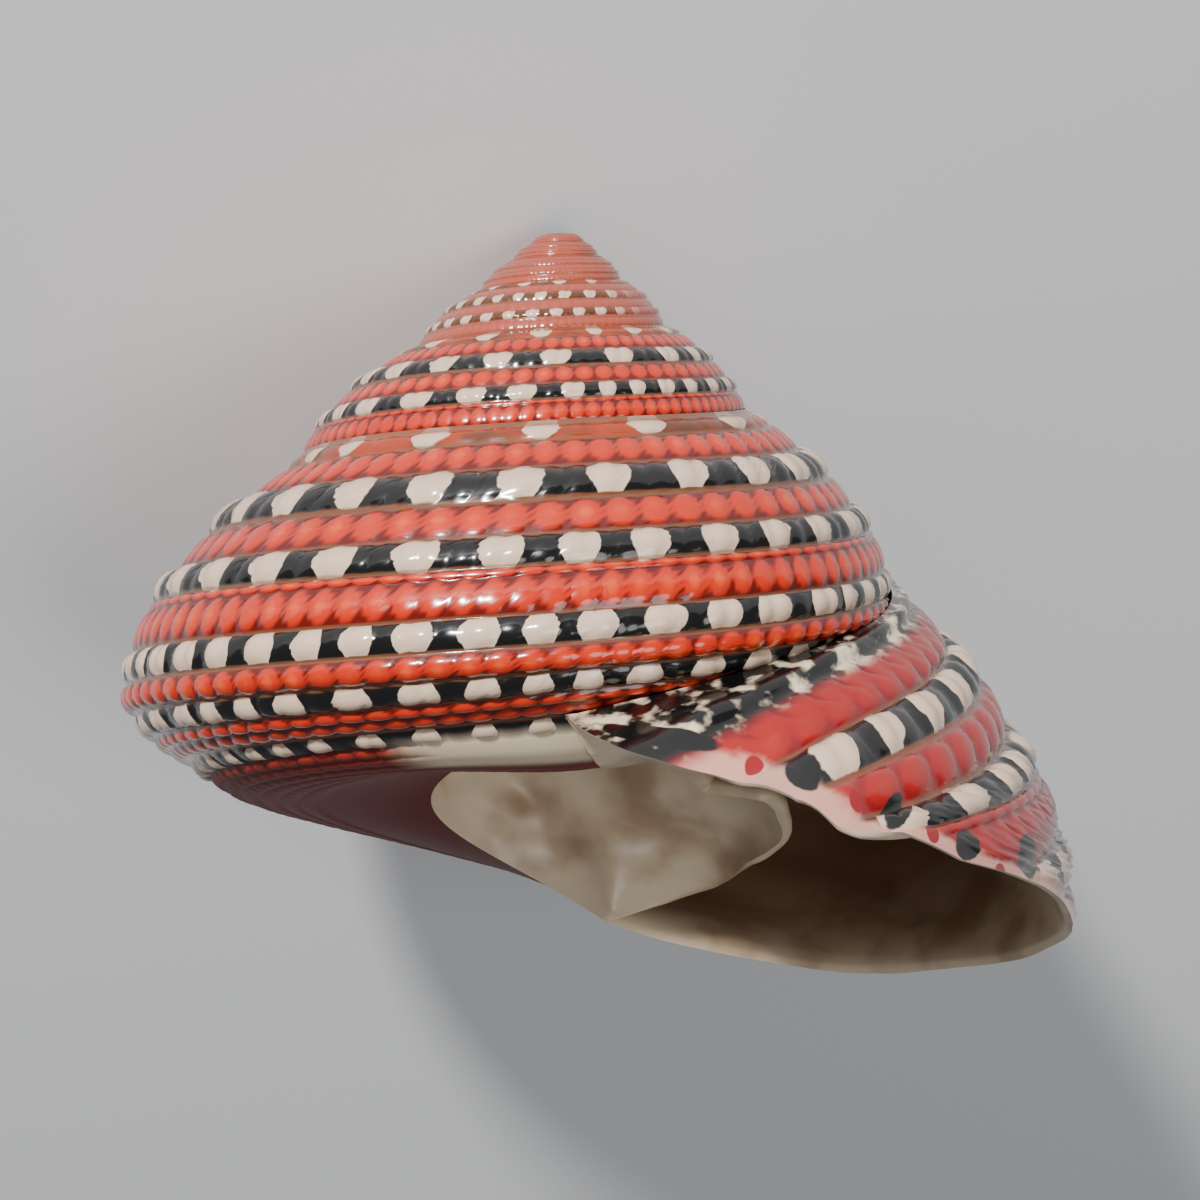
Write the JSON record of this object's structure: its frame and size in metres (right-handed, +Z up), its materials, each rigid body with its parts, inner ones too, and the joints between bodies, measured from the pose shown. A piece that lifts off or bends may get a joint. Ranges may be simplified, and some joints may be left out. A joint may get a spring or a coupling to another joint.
{
  "type": "strawberry top shell",
  "caption": "Small cone-shaped top shell with beaded spiral cords, an open toothed mouth and a navel, lying on its back on a small flat spot",
  "frame": {"origin": "middle of the footprint, on the surface the shell lies on", "axes": "Z is up; the shell lies on its back with its tip toward -Y and its open mouth facing up"},
  "size_m": [0.0206, 0.018, 0.0168],
  "materials": {
    "shell": "glossy beaded shell, coral red cords with black and cream spots, cream mouth"
  },
  "bodies": {
    "root": {"shell": "shell"}
  },
  "joints": []
}
